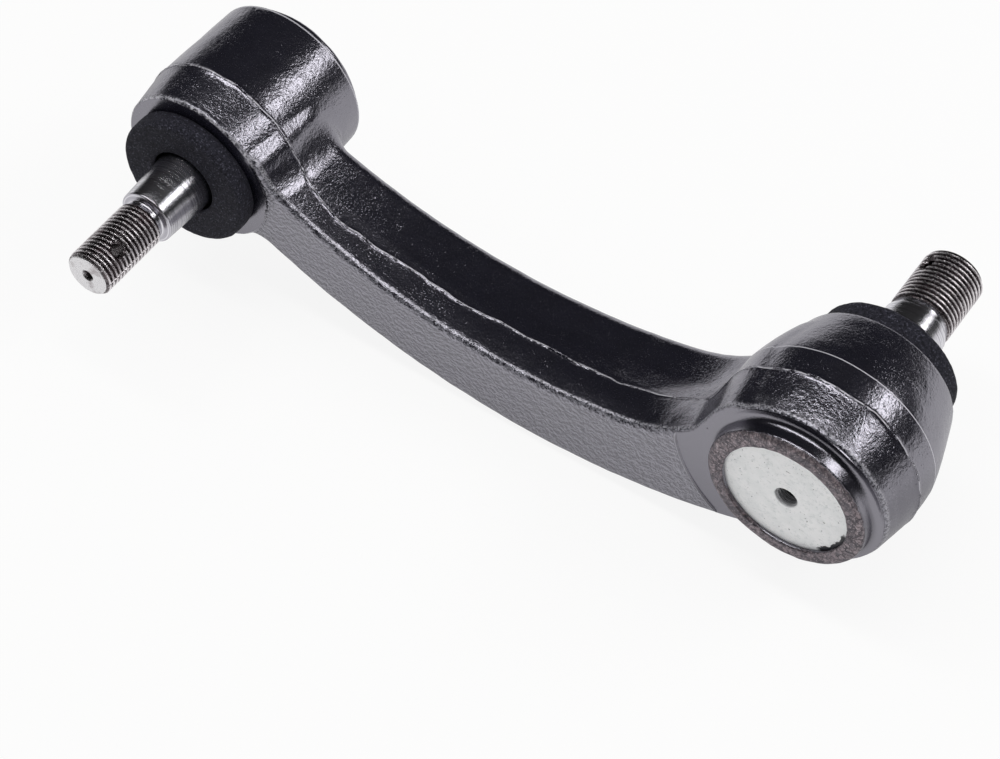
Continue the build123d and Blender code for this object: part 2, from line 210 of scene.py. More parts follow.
def rounded(points, radii, steps=6):
    """A path through the points, with its corners rounded where a radius is given."""
    path = []
    for i, point in enumerate(points):
        radius = radii.get(i, 0.0)
        p = np.array(point, float)
        if not radius:
            path.append(tuple(p))
            continue
        before = np.array(points[i - 1], float) - p
        after = np.array(points[(i + 1) % len(points)], float) - p
        u = before / np.linalg.norm(before)
        v = after / np.linalg.norm(after)
        half = math.acos(float(np.clip(u @ v, -1, 1))) / 2
        reach = radius / math.tan(half)
        middle = (u + v) / np.linalg.norm(u + v)
        centre = p + middle * radius / math.sin(half)
        start = p + u * reach - centre
        end = p + v * reach - centre
        turn = math.atan2(start[0] * end[1] - start[1] * end[0], start @ end)
        for k in range(steps + 1):
            a = turn * k / steps
            path.append((
                centre[0] + start[0] * math.cos(a) - start[1] * math.sin(a),
                centre[1] + start[0] * math.sin(a) + start[1] * math.cos(a)))
    return path


def fine(path, step, closed=True):
    """The path with long runs divided, so that a displacement has points to move."""
    out = []
    count = len(path)
    for i in range(count if closed else count - 1):
        a = np.array(path[i], float)
        b = np.array(path[(i + 1) % count], float)
        pieces = max(1, int(math.ceil(np.linalg.norm(b - a) / step)))
        for k in range(pieces):
            out.append(tuple(a + (b - a) * k / pieces))
    if not closed:
        out.append(tuple(path[-1]))
    return out


def level_rows(path):
    """Rows of a turned shape that stay at one radius and height all the way round."""
    ones = np.ones(STUD_SEGMENTS)
    return [np.stack([r * ones, z * ones], 1) for r, z in path]


def screw_rows(low, high, thread_radius, depth, pitch, limit):
    """Rows that follow a thread's helix; limit(z) is the radius that the thread stays within.

    A bore's thread has a negative depth, and its limit is the least radius.
    """
    share = np.arange(STUD_SEGMENTS) / STUD_SEGMENTS
    rows = []
    for j in range(-THREAD_STEPS, int((high - low) / pitch * THREAD_STEPS) + 2):
        z = np.clip(low + pitch * (j / THREAD_STEPS + share), low, high)
        phase = ((z - low) / pitch - share) % 1.0
        groove = np.clip((np.abs(phase - 0.5) - 0.10) / 0.27, 0, 1)
        radius = thread_radius - depth * (1 - groove)
        edge = limit(z)
        radius = np.minimum(radius, edge) if depth > 0 else np.maximum(radius, edge)
        rows.append(np.stack([radius, z], 1))
    return rows


def lathe(name, rows, place, body, closed=True, move=None):
    """Skin a turned shape's rows; move(points) may shift its points first."""
    rows = np.array(rows)
    angles = np.arange(STUD_SEGMENTS) * 2 * math.pi / STUD_SEGMENTS
    points = np.stack([
        rows[:, :, 0] * np.cos(angles), rows[:, :, 0] * np.sin(angles), rows[:, :, 1]], 2)
    points = points.reshape(-1, 3)
    if move:
        points = move(points)
    count = len(rows)
    faces = []
    for i in range(count if closed else count - 1):
        j = (i + 1) % count
        for k in range(STUD_SEGMENTS):
            n = (k + 1) % STUD_SEGMENTS
            faces.append((
                i * STUD_SEGMENTS + k, i * STUD_SEGMENTS + n,
                j * STUD_SEGMENTS + n, j * STUD_SEGMENTS + k))
    piece = make_object(name, place(points), faces, body)
    tidy(piece)
    return piece


def tidy(piece):
    """Merge points that coincide, drop what collapsed and turn the faces outwards."""
    work = bmesh.new()
    work.from_mesh(piece.data)
    bmesh.ops.remove_doubles(work, verts=work.verts, dist=1e-6)
    bmesh.ops.dissolve_degenerate(work, edges=work.edges, dist=1e-7)
    bmesh.ops.recalc_face_normals(work, faces=work.faces)
    work.to_mesh(piece.data)
    work.free()
    piece.data.shade_smooth()


# Distance fields

def polygon_distance(r, z, corners):
    """Signed distance to a closed polygon in the (radius, height) plane, negative inside."""
    best = np.full(r.shape, 1e9)
    inside = np.zeros(r.shape, bool)
    for (ax, az), (bx, bz) in zip(corners, corners[1:] + corners[:1]):
        ex, ez = bx - ax, bz - az
        if not ex and not ez:
            continue
        t = np.clip(((r - ax) * ex + (z - az) * ez) / (ex * ex + ez * ez), 0, 1)
        best = np.minimum(best, (r - ax - t * ex) ** 2 + (z - az - t * ez) ** 2)
        if az != bz:
            crosses = (az > z) != (bz > z)
            inside ^= crosses & (r < (bx - ax) * (z - az) / (bz - az) + ax)
    return np.where(inside, -1, 1) * np.sqrt(best)


class Table:
    """A closed outline's distance field in a plane, looked up by bilinear interpolation."""

    def __init__(self, corners, low, high, step):
        self.low = low
        self.step = step
        axes = [np.arange(a, b, step) for a, b in zip(low, high)]
        self.values = polygon_distance(*np.meshgrid(*axes, indexing="ij"), corners)

    def __call__(self, u, v):
        t = self.values
        u = np.clip((u - self.low[0]) / self.step, 0, t.shape[0] - 1.001)
        v = np.clip((v - self.low[1]) / self.step, 0, t.shape[1] - 1.001)
        i, j = u.astype(int), v.astype(int)
        fu, fv = u - i, v - j
        near = t[i, j] * (1 - fv) + t[i, j + 1] * fv
        far = t[i + 1, j] * (1 - fv) + t[i + 1, j + 1] * fv
        return near * (1 - fu) + far * fu


def turned_field(corners):
    """The field of a solid turned about Z, from its outline of (radius, height)."""
    mirrored = [(-r, z) for r, z in reversed(corners)]
    return Table(corners + mirrored, (0.0, -32.0), (60.0, 32.0), 0.1)


def round_join(a, b, radius):
    """The union of two fields, with a concave fillet of a radius that may differ by place."""
    u = np.maximum(radius - a, 0)
    v = np.maximum(radius - b, 0)
    return np.maximum(radius, np.minimum(a, b)) - np.sqrt(u * u + v * v)


def round_meet(a, b, radius):
    """The intersection of two fields, with a convex round where they meet."""
    u = np.maximum(radius + a, 0)
    v = np.maximum(radius + b, 0)
    return np.minimum(-radius, np.maximum(a, b)) + np.sqrt(u * u + v * v)


def meeting(centre_a, radius_a, centre_b, radius_b, side):
    """Where two circles meet, on the left (1) or right (-1) of the way from a to b."""
    a, b = np.array(centre_a), np.array(centre_b)
    apart = np.linalg.norm(b - a)
    along = (apart ** 2 + radius_a ** 2 - radius_b ** 2) / (2 * apart)
    off = math.sqrt(radius_a ** 2 - along ** 2)
    way = (b - a) / apart
    return a + way * along + np.array((-way[1], way[0])) * off * side


def arc_points(centre, start, end, turn):
    """Points of an arc round a centre: turn is 1 counterclockwise, -1 clockwise."""
    a, b = np.array(start) - centre, np.array(end) - centre
    sweep = (turn * (math.atan2(b[1], b[0]) - math.atan2(a[1], a[0]))) % (2 * math.pi)
    radius = np.linalg.norm(a)
    count = max(2, int(radius * sweep / ARC_STEP))
    angles = math.atan2(a[1], a[0]) + turn * np.linspace(0, sweep, count, endpoint=False)
    return [tuple(centre + radius * np.array((math.cos(t), math.sin(t)))) for t in angles]


bend = meeting(
    (0.0, 0.0), BEND_RADIUS - OFFSET_AT_FRAME, (CENTRES, 0.0), BEND_RADIUS + OFFSET_AT_LINK, 1)


def arm_plan():
    """The arm's outline along the studs: the bent bar, with a flared pad at each barrel."""
    frame_axis, link_axis = np.zeros(2), np.array((CENTRES, 0.0))
    inner, outer = BEND_RADIUS - HALF_WIDTH, BEND_RADIUS + HALF_WIDTH
    flares = []
    for axis, pad, hollow, junction, side in (
            (frame_axis, FRAME_PAD, FRAME_HOLLOW, FRAME_JUNCTION, 1),
            (link_axis, LINK_PAD, LINK_JUNCTION, LINK_JUNCTION, -1)):
        for edge, reach, fillet in (
                (inner, inner - hollow, hollow), (outer, outer + junction, junction)):
            centre = meeting(axis, pad + fillet, bend, reach, -side)
            on_pad = axis + (centre - axis) * pad / (pad + fillet)
            on_bar = bend + (centre - bend) * edge / reach
            flares.append((centre, on_pad, on_bar))
    (f_in, f_in_pad, f_in_bar), (f_out, f_out_pad, f_out_bar) = flares[:2]
    (k_in, k_in_pad, k_in_bar), (k_out, k_out_pad, k_out_bar) = flares[2:]
    arcs = [
        (frame_axis, f_in_pad, 1), (f_out, f_out_pad, -1), (bend, f_out_bar, 1),
        (k_out, k_out_bar, -1), (link_axis, k_out_pad, 1), (k_in, k_in_pad, -1),
        (bend, k_in_bar, -1), (f_in, f_in_bar, -1)]
    outline = []
    for (centre, start, turn), (_, end, _) in zip(arcs, arcs[1:] + arcs[:1]):
        outline += arc_points(centre, start, end, turn)
    return outline


arm_outline = Table(arm_plan(), (-36.0, -48.0), (224.0, 36.0), 0.4)


def arm_field(x, y, z):
    """The arm and its pads: drafted sides, sloping faces and rounded edges."""
    side = arm_outline(x, y)
    above = z - PARTING
    back_side = side * math.cos(BACK_DRAFT) + above * math.sin(BACK_DRAFT)
    inward = rise(BEND_RADIUS - np.hypot(x - bend[0], y - bend[1]), -3, 3)
    along = np.clip((SWELL_START - x) / (SWELL_START - SWELL_FULL), 0, 1)
    swell = FRONT_SWELL * along * rise(x, 20, 40) * inward * rise(above, 10, -9)
    front_side = (side - swell) * math.cos(FRONT_DRAFT) - above * math.sin(FRONT_DRAFT)
    back_side = back_side - swell
    share = x / CENTRES
    back = z - (BACK_AT_FRAME + (BACK_AT_LINK - BACK_AT_FRAME) * share)
    front = (FRONT_AT_FRAME + (FRONT_AT_LINK - FRONT_AT_FRAME) * share) - z
    upper = round_meet(back_side, back, BACK_EDGE)
    lower = round_meet(front_side, front, FRONT_EDGE)
    return np.maximum(upper, lower)


def rise(value, low, high):
    """Go smoothly from 0 at low to 1 at high."""
    t = np.clip((value - low) / (high - low), 0, 1)
    return t * t * (3 - 2 * t)


frame_barrel = turned_field(
    [(0, -FRAME_FOOT), (24.7, -FRAME_FOOT), (25.4, -20.4), (25.95, -19.6), (28.3, PARTING),
     (28.3, 0.2), (27.4, 4.4), (26.32, 8.4), (25.2, 12.3), (24.0, 16.2), (22.9, 19.6),
     (22.4, FRAME_FACE), (0, FRAME_FACE)])
link_barrel = turned_field(
    [(0, -LINK_FOOT), (24.1, -LINK_FOOT), (24.7, -20.6), (25.7, -PARTING), (24.0, 20.0),
     (23.4, LINK_FACE), (0, LINK_FACE)])
frame_hollow = turned_field(
    [(0, -30), (18.2, -30), (18.2, 1), (17.07, 1), (16.6, 4.1), (15.4, 7.4), (12.9, 11.22),
     (13.9, 21.1), (0, 21.1)])
link_hollow = turned_field(
    [(0, -30), (16.8, -30), (16.8, 1), (15.67, 1), (15.2, 3.9), (14.1, 6.9), (12.1, 10.0),
     (13.1, 21.6), (0, 21.6)])


def forging_field(p):
    """The whole forging with its machined faces and hollows, in millimetres."""
    x, y, z = p[:, 0], p[:, 1], p[:, 2]
    to_frame, to_link = from_axis(p), from_axis(p, CENTRES)
    frame_blend = rise(to_frame, 22, 29) * rise(x / np.maximum(to_frame, 1), 0.5, 0.8)
    link_blend = rise(to_link, 21, 27) * rise((CENTRES - x) / np.maximum(to_link, 1), 0.72, 0.9)
    body = round_join(
        arm_field(x, y, z), frame_barrel(to_frame, z), BARREL_BLEND * frame_blend + 0.01)
    body = round_join(body, link_barrel(to_link, -z), BARREL_BLEND * link_blend + 0.01)
    for cut in (
            np.maximum(to_frame - SPOTFACE, FRAME_FACE - z),
            np.maximum(to_frame - FRAME_PAD, z + FRAME_FOOT),
            np.maximum(to_link - SPOTFACE, LINK_FOOT - z),
            np.maximum(to_link - SPOTFACE, z + LINK_FACE),
            frame_hollow(to_frame, z), link_hollow(to_link, -z)):
        body = np.maximum(body, -cut)
    return body


# Machined edges: the barrel's place along X, radius and height
FEATURES = [
    (0.0, 24.7, -FRAME_FOOT), (0.0, 28.3, 0.2),
    (0.0, 22.4, FRAME_FACE), (0.0, 18.2, -FRAME_FOOT), (0.0, 13.8, FRAME_FACE),
    (CENTRES, 23.4, -LINK_FACE), (CENTRES, 24.0, -20.0), (CENTRES, 24.1, LINK_FOOT),
    (CENTRES, 24.7, 20.6), (CENTRES, 16.8, LINK_FOOT),
    (CENTRES, 13.02, -LINK_FACE)]


def surface_net(values, origin, step):
    """Quads of the zero surface of a grid: one point in each cell that it crosses."""
    inside = values < 0
    shape = tuple(n - 1 for n in values.shape)
    total = shape[0] * shape[1] * shape[2]
    sums = np.zeros((3, total))
    count = np.zeros(total)
    crossings = []
    for axis in range(3):
        hit = np.argwhere(np.diff(inside, axis=axis))
        va = values[tuple(hit.T)]
        vb = values[tuple((hit + np.eye(3, dtype=int)[axis]).T)]
        where = hit.astype(float)
        where[:, axis] += va / (va - vb)
        others = [k for k in range(3) if k != axis]
        around = []
        for da, db in ((-1, -1), (0, -1), (0, 0), (-1, 0)):
            cell = hit.copy()
            cell[:, others[0]] += da
            cell[:, others[1]] += db
            good = ((cell >= 0) & (cell < shape)).all(1)
            index = (cell[:, 0] * shape[1] + cell[:, 1]) * shape[2] + cell[:, 2]
            index = np.where(good, index, 0)
            for k in range(3):
                sums[k] += np.bincount(index[good], weights=where[good, k], minlength=total)
            count += np.bincount(index[good], minlength=total)
            around.append(index)
        quads = np.stack(around, 1)
        flip = (va < 0) if axis != 1 else (va > 0)
        quads[~flip] = quads[~flip][:, ::-1]
        crossings.append(quads)
    used = np.flatnonzero(count)
    lookup = np.full(total, -1)
    lookup[used] = np.arange(len(used))
    points = (sums[:, used] / count[used]).T * step + np.array(origin)
    return points, lookup[np.concatenate(crossings)]


def field_slope(field, points, reach=0.05):
    return np.stack([
        (field(points + shift) - field(points - shift)) / (2 * reach)
        for shift in np.eye(3) * reach], 1)


def settle(field, points, rounds, limit):
    """Move points along the field's slope until they lie on its zero surface."""
    for _ in range(rounds):
        slope = field_slope(field, points)
        size = np.maximum((slope ** 2).sum(1), 0.2)
        step = np.clip(field(points) / size, -limit, limit)
        points = points - slope * step[:, None]
    return points


def snap(points, step):
    """Bring points that lie by a machined edge exactly onto it."""
    for centre_x, radius, height in FEATURES:
        dx = points[:, 0] - centre_x
        dy = points[:, 1]
        r = np.hypot(dx, dy)
        near = np.hypot(r - radius, points[:, 2] - height) < step
        scale = radius / r[near]
        points[near, 0] = centre_x + dx[near] * scale
        points[near, 1] = dy[near] * scale
        points[near, 2] = height
    return points


def fractal(points, scale, octaves, seed):
    """Smooth noise at each point, about -1 to 1; scale is the wave's length in millimetres."""
    offset = Vector((seed * 17.3, seed * 5.1, seed * 9.7))
    return np.array([
        noise.fractal(Vector(p) / scale + offset, 1.0, 2.0, octaves) for p in points])


def rough_mask(p):
    """1 on the forging's rough skin, 0 on its machined faces and in its hollows."""
    to_frame, to_link = from_axis(p), from_axis(p, CENTRES)
    machined = (to_frame < 20) | (to_link < 19)
    for away, radius, beyond, margin in (
            (to_frame, SPOTFACE + 0.3, -FRAME_FOOT - p[:, 2], 0.3),
            (to_frame, 22.6, p[:, 2] - FRAME_FACE, 0.3),
            (to_link, 24.0, -LINK_FACE - p[:, 2], 0.4),
            (to_link, 24.3, p[:, 2] - LINK_FOOT, 0.4)):
        machined |= (away < radius) & (beyond > -margin)
    return 1.0 - machined


def flash_offset(p):
    """How far each point is above the forging's wandering parting line."""
    course = np.interp(p[:, 0], *zip(*FLASH_PATH))
    return p[:, 2] - course - 0.55 * fractal(p * (1, 1, 0), 9.0, 3, 3)


def flash_ridge(p):
    """Height of the ridge that the two dies left along the parting line, 0 to 1."""
    present = np.clip(0.75 + fractal(p, 14.0, 2, 8) * 1.1, 0.2, 1)
    return np.exp(-(flash_offset(p) / FLASH_WIDTH) ** 2) * present


def refine_band(piece, chosen):
    """Halve the edges whose two ends are both chosen, one truth value for each vertex."""
    work = bmesh.new()
    work.from_mesh(piece.data)
    work.verts.ensure_lookup_table()
    edges = [e for e in work.edges if chosen[e.verts[0].index] and chosen[e.verts[1].index]]
    bmesh.ops.subdivide_edges(work, edges=edges, cuts=1)
    bmesh.ops.triangulate(work, faces=[f for f in work.faces if len(f.verts) > 4])
    work.to_mesh(piece.data)
    work.free()


def move_points(piece, points):
    piece.data.vertices.foreach_set("co", (points * MM).astype(np.float32).ravel())
    piece.data.update()


def forging():
    """The arm and both barrels as one skin."""
    axes = [np.arange(a, b, GRID_STEP) for a, b in zip(GRID_LOW, GRID_HIGH)]
    grid = np.stack(np.meshgrid(*axes, indexing="ij"), -1).reshape(-1, 3)
    values = forging_field(grid).reshape([len(a) for a in axes])
    points, quads = surface_net(values, GRID_LOW, GRID_STEP)
    points = settle(forging_field, points, SETTLE_ROUNDS, GRID_STEP / 2)
    points = snap(points, GRID_STEP * SNAP_REACH)
    slope = field_slope(forging_field, points)
    normals = slope / np.maximum(np.linalg.norm(slope, axis=1), 1e-6)[:, None]
    dents = fractal(points, 7.0, 3, 1) * DENT_DEPTH + fractal(points, 26.0, 1, 2) * DENT_DEPTH
    points = points + normals * (dents * rough_mask(points))[:, None]
    piece = make_object("idler_forging", points, quads, "arm")
    thin = piece.modifiers.new("thin", "DECIMATE")
    thin.ratio = FORGING_TRIANGLES / (2 * len(quads))
    applied(piece)
    p = mesh_points(piece)
    refine_band(piece, (np.abs(flash_offset(p)) < FLASH_BAND) & (rough_mask(p) > 0.5))
    for width in SPOTFACE_BANDS:
        p = mesh_points(piece)
        near = np.abs(from_axis(p) - SPOTFACE) < width
        refine_band(piece, near & (p[:, 2] < SPOTFACE_TOP))
    p = mesh_points(piece)
    cut = rise(SPOTFACE - from_axis(p), -SPOTFACE_RAMP, SPOTFACE_RAMP) * (p[:, 2] < -FRAME_FOOT)
    p[:, 2] += cut * (-FRAME_FOOT - p[:, 2])
    move_points(piece, p)
    normals = np.zeros(len(p) * 3, np.float32)
    piece.data.vertices.foreach_get("normal", normals)
    ridge = flash_ridge(p) * rough_mask(p) * FLASH_HEIGHT
    move_points(piece, p + normals.reshape(-1, 3) * ridge[:, None])
    piece.data.shade_smooth()
    sharpen(piece, 40)
    point_values(piece, "rough", rough_mask(p))
    point_values(piece, "flash", flash_offset(p))
    return piece


# Turned pieces

class End:
    """The sizes of one end in its own frame: ball centre at 0, stud along +Z."""

    def __init__(self, **sizes):
        self.__dict__.update(sizes)

    def taper(self, z):
        relief = self.tip - self.thread_length - RELIEF_LENGTH
        return self.taper_end + (relief - z) / TAPER_RUN


FRAME = End(
    name="frame", place=at_frame, stud_place=at_frame, face=FRAME_FACE, foot=FRAME_FOOT,
    lip=22.8, lip_height=5.7, ball=17.0, head=13.26, cover=19.4, shown=18.0, tip=62.9,
    thread=9.0, thread_length=19.4, taper_end=9.25, journal=10.9, setback=5.6, heading=46.0)
LINK = End(
    name="link", place=at_link, stud_place=at_leaned_link, face=LINK_FACE, foot=LINK_FOOT,
    lip=22.0, lip_height=3.6, ball=15.6, head=12.17, cover=18.4, shown=17.0, tip=70.0,
    thread=7.0, thread_length=23.0, taper_end=8.2, journal=9.9, setback=8.6, heading=50.0)


def stud(end):
    """A ball stud with a cut thread, turning marks, a cross hole and a centre drill."""
    start = end.tip - end.thread_length
    relief = end.thread - 0.65 * PITCH
    flat = math.sqrt(end.ball ** 2 - end.head ** 2)
    ball = [
        (end.ball * math.cos(a), end.ball * math.sin(a))
        for a in np.linspace(math.atan2(-end.head, flat), 0, 24)]
    taper_foot = end.face - 2
    neck = rounded([
        ball[-1], (end.journal, 0), (end.journal, taper_foot - 1),
        (end.taper(taper_foot), taper_foot),
        (end.taper(start - RELIEF_LENGTH), start - RELIEF_LENGTH),
        (relief, start - 2.0), (relief, start - THREAD_RUN_IN)], {1: 0.5, 4: 0.35, 5: 0.5}, 5)
    body_path = [(0.0, -end.head)] + ball + fine(neck[1:], 1.4, closed=False)

    def limit(z):
        return np.minimum(
            relief + np.maximum(z - start + THREAD_RUN_IN, 0),
            end.thread - np.maximum(z - end.tip + THREAD_END_BEVEL, 0))

    rows = level_rows(body_path)
    rows += screw_rows(
        start - THREAD_RUN_IN, end.tip - 0.1, end.thread, THREAD_DEPTH, PITCH, limit)
    end_face = [
        (end.thread - 0.95, end.tip), (end.thread * 0.62, end.tip - 0.06), (1.9, end.tip),
        (1.6, end.tip - 0.25), (0.75, end.tip - 1.7), (0.7, end.tip - 2.6), (0.0, end.tip - 2.9)]
    rows += level_rows(fine(end_face, 1.2, closed=False))
    piece = lathe(end.name + "_ball_stud", rows, end.stud_place, end.name + "_stud", closed=False)
    reach = end.thread + CUTTER_REACH
    flare = CROSS_HOLE + CUTTER_REACH + CROSS_CHAMFER
    cutter_path = [
        (0.0, -reach), (flare, -reach), (CROSS_HOLE, -end.thread + CROSS_CHAMFER),
        (CROSS_HOLE, end.thread - CROSS_CHAMFER), (flare, reach), (0.0, reach)]
    angle = math.radians(end.heading)
    height = end.tip - end.setback

    def place_cutter(points):
        along, across, up = points[:, 2], points[:, 0], points[:, 1]
        turned = np.stack([
            along * math.cos(angle) - across * math.sin(angle),
            along * math.sin(angle) + across * math.cos(angle), up + height], 1)
        return end.stud_place(turned)

    cutter = lathe("cutter", level_rows(cutter_path), place_cutter, None, closed=False)
    cut = piece.modifiers.new("cross_hole", "BOOLEAN")
    cut.operation = "DIFFERENCE"
    cut.solver = "EXACT"
    cut.object = cutter
    applied(piece)
    bpy.data.objects.remove(cutter)
    piece.data.shade_smooth()
    sharpen(piece, 32)
    return piece


def lip(end):
    """The rolled lip: fillet at its root, bulged wall and an uneven crown."""
    depth = end.foot + end.lip_height
    path = rounded([
        (end.cover + 0.02, -end.foot + 3), (end.lip + 2.6, -end.foot + 3),
        (end.lip + 2.6, -end.foot + 0.0), (end.lip, -end.foot - 0.1),
        (end.lip, -depth + 1.0), (end.lip - 1.4, -depth), (end.shown + 0.3, -depth + 0.05),
        (end.shown, -depth + 0.4), (end.shown, -depth + 1.15), (end.cover + 0.02, -depth + 1.15),
        ], {3: 1.9, 4: 1.2, 5: 1.6, 6: 0.4}, 6)

    def hammered(points):
        r = from_axis(points)
        low = np.clip((-points[:, 2] - depth + 2.2) / 2.2, 0, 1) * (r < end.lip + 0.5)
        wave = fractal(points, 5.0, 3, 11) * 0.22 + fractal(points, 1.6, 2, 12) * 0.07
        lift = np.where(r > end.shown + 0.2, wave * low, 0)
        radial = np.where(r < end.shown + 1, fractal(points, 6.0, 2, 13) * 0.25, 0)
        scale = 1 + radial / r
        return np.stack([points[:, 0] * scale, points[:, 1] * scale, points[:, 2] + lift], 1)

    piece = lathe(
        end.name + "_rolled_lip", level_rows(fine(path, 0.55)), end.place, "arm", move=hammered)
    sharpen(piece, 50)
    return piece


def cover_plate(end):
    """The cover disc with its tapped grease hole."""
    outer = -(end.foot + end.lip_height - COVER_DEPTH)
    inner = outer + COVER_THICKNESS
    mouth = GREASE_BORE + GREASE_MOUTH
    path = rounded([
        (mouth, outer), (end.cover - 0.02, outer), (end.cover - 0.02, inner), (mouth, inner)],
        {1: 0.3, 2: 0.3}, 3)

    def limit(z):
        return np.maximum(GREASE_BORE, mouth - np.minimum(inner - z, z - outer))

    rows = level_rows(fine(path, 1.6, closed=False))
    threads = screw_rows(
        outer + 0.01, inner - 0.01, GREASE_BORE, -GREASE_THREAD, GREASE_PITCH, limit)
    rows += threads[::-1]

    def dished(points):
        r = from_axis(points)
        dish = 0.10 * (r / end.cover) ** 2 + fractal(points, 9.0, 2, 21) * 0.03
        points[:, 2] += dish * (r > mouth + 0.05)
        return points

    piece = lathe(end.name + "_cover_plate", rows, end.place, "arm", move=dished)
    sharpen(piece, 32)
    return piece


def dust_seal(end):
    """The foam ring round the throat, with soft edges and room for the stud to tilt at its foot."""
    top = end.face + SEAL_HEIGHT
    foot_hole = end.journal + SEAL_ROOM
    path = rounded([
        (foot_hole, end.face), (SEAL_RADIUS, end.face), (SEAL_RADIUS, top),
        (end.taper(top) + 0.3, top), (foot_hole, end.face + SEAL_ROOM)],
        {0: 0.5, 1: 1.8, 2: 1.7, 3: 0.9}, 6)

    def soft(points):
        centre = points * (1, 1, 0)
        r = np.linalg.norm(centre, axis=1)
        out = centre / r[:, None]
        wave = fractal(points, 6.0, 2, 31) * 0.16 + fractal(points, 1.1, 2, 32) * 0.06
        grown = points + out * np.where(r > foot_hole + 1.5, wave, 0)[:, None]
        grown[:, 2] += np.where(points[:, 2] > end.face + 0.6, wave * 0.8, 0)
        return grown

    def place(points):
        if end is FRAME:
            return points
        share = np.clip((points[:, 2] - end.face) / SEAL_HEIGHT, 0, 1)[:, None]
        return at_link(points) * (1 - share) + leaned(at_link(points)) * share

    return lathe(end.name + "_foam_seal", level_rows(fine(path, 0.7)), place, None, move=soft)


# Materials

def as_colour(value):
    """Four numbers for a grey or a colour; a socket stays as it is."""
    if isinstance(value, bpy.types.NodeSocket):
        return value
    return (*value, 1.0) if hasattr(value, "__len__") else (value, value, value, 1.0)


class Nodes:
    """The node tree of a material or world, under construction."""

    def __init__(self, owner):
        owner.use_nodes = True
        self.tree = owner.node_tree

    def add(self, kind, inputs=None, **settings):
        made = self.tree.nodes.new(kind)
        for key, value in settings.items():
            setattr(made, key, value)
        for key, value in (inputs or {}).items():
            self.put(made.inputs[key], value)
        return made

    def put(self, socket, value):
        if isinstance(value, bpy.types.NodeSocket):
            self.tree.links.new(value, socket)
        else:
            socket.default_value = value

    def math(self, operation, a, b=0.0, clamp=False):
        made = self.add("ShaderNodeMath", {0: a, 1: b}, operation=operation)
        made.use_clamp = clamp
        return made.outputs[0]

    def all(self, *masks):
        """The product of masks."""
        return reduce(lambda a, b: self.math("MULTIPLY", a, b), masks)

    def any(self, *masks):
        """The greatest of masks."""
        return reduce(lambda a, b: self.math("MAXIMUM", a, b), masks)

    def less(self, mask):
        return self.math("SUBTRACT", 1.0, mask, clamp=True)

    def within(self, value, low, high, first=0.0, last=1.0):
        """Go smoothly from first at low to last at high, which may be the lesser."""
        made = self.add("ShaderNodeMapRange", {
            "Value": value, "From Min": low, "From Max": high, "To Min": first,
            "To Max": last}, interpolation_type="SMOOTHSTEP")
        return made.outputs["Result"]

    def hypot(self, a, b):
        return self.math("SQRT", self.math(
            "ADD", self.math("MULTIPLY", a, a), self.math("MULTIPLY", b, b)))

    def rays(self):
        """1 for what the camera sees directly, and 1 for what it sees in metal or glass."""
        path = self.add("ShaderNodeLightPath").outputs
        return path["Is Camera Ray"], self.any(
            path["Is Glossy Ray"], path["Is Transmission Ray"])

    def either(self, factor, a, b):
        """Shader a where factor is 0 and shader b where it is 1."""
        return self.add("ShaderNodeMixShader", {0: factor, 1: a.outputs[0], 2: b.outputs[0]})


